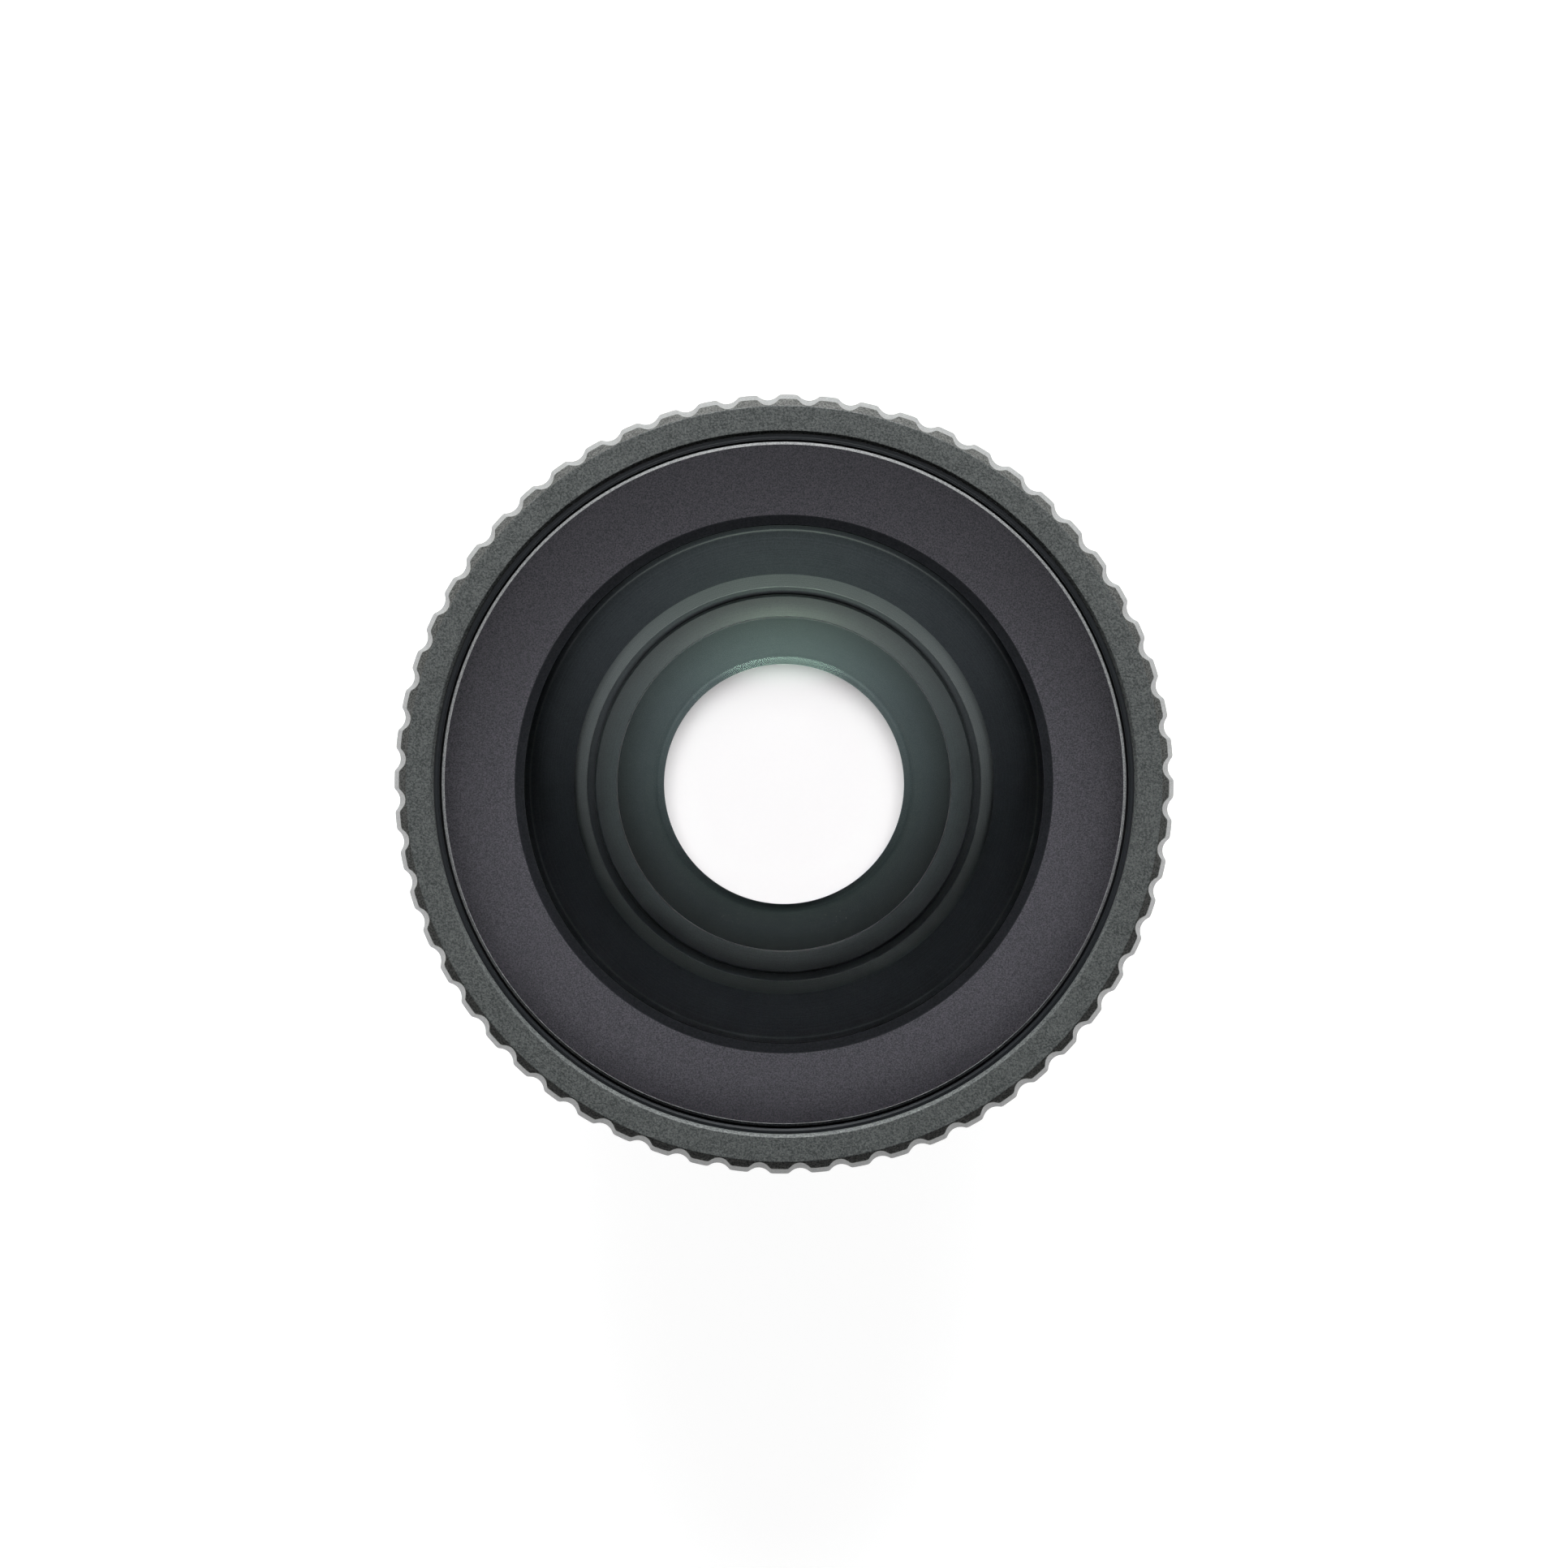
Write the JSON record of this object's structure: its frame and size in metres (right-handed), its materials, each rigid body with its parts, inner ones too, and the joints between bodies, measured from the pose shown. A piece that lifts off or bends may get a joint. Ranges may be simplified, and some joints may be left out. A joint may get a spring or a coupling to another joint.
{
  "type": "wide-angle conversion lens",
  "caption": "Round screw-on wide-angle conversion lens with a scalloped grip ring, a domed front glass, a tapered barrel and a male mounting thread behind.",
  "frame": {"origin": "centre of the rear end of the mounting thread, on which the lens stands", "axes": "+Z along the optical axis towards the front glass; +Y is the top of the picture's front view"},
  "size_m": [0.058, 0.058, 0.031],
  "materials": {
    "anodised_bezel": "bead-blasted black anodised",
    "anodised_barrel": "satin black anodised",
    "anodised_inner": "matt black anodised",
    "blackened_brass": "matt black lacquer",
    "optical_glass": "polished, multi-coated",
    "black_rubber": "matt",
    "black_polyester": "matt",
    "blackened_steel": "black oxide"
  },
  "bodies": {
    "root": {"grip_bezel": "anodised_bezel", "bezel_lock_screws": "blackened_steel", "front_clamp_ring": "anodised_inner", "front_element": "optical_glass", "front_seat_gasket": "black_polyester", "front_barrel": "anodised_barrel", "bezel_o_ring": "black_rubber", "barrel_joint_gasket": "black_rubber", "rear_barrel": "anodised_barrel", "inner_baffle": "anodised_inner", "cell_clamp_ring": "anodised_inner", "rear_cell": "anodised_inner", "rear_cell_shim": "blackened_brass", "doublet_crown": "optical_glass", "doublet_flint": "optical_glass", "doublet_pad_ring": "black_polyester", "doublet_retaining_ring": "anodised_inner", "rear_baffle": "blackened_brass", "mount_ring": "anodised_barrel", "mount_screws": "blackened_steel"}
  },
  "joints": []
}
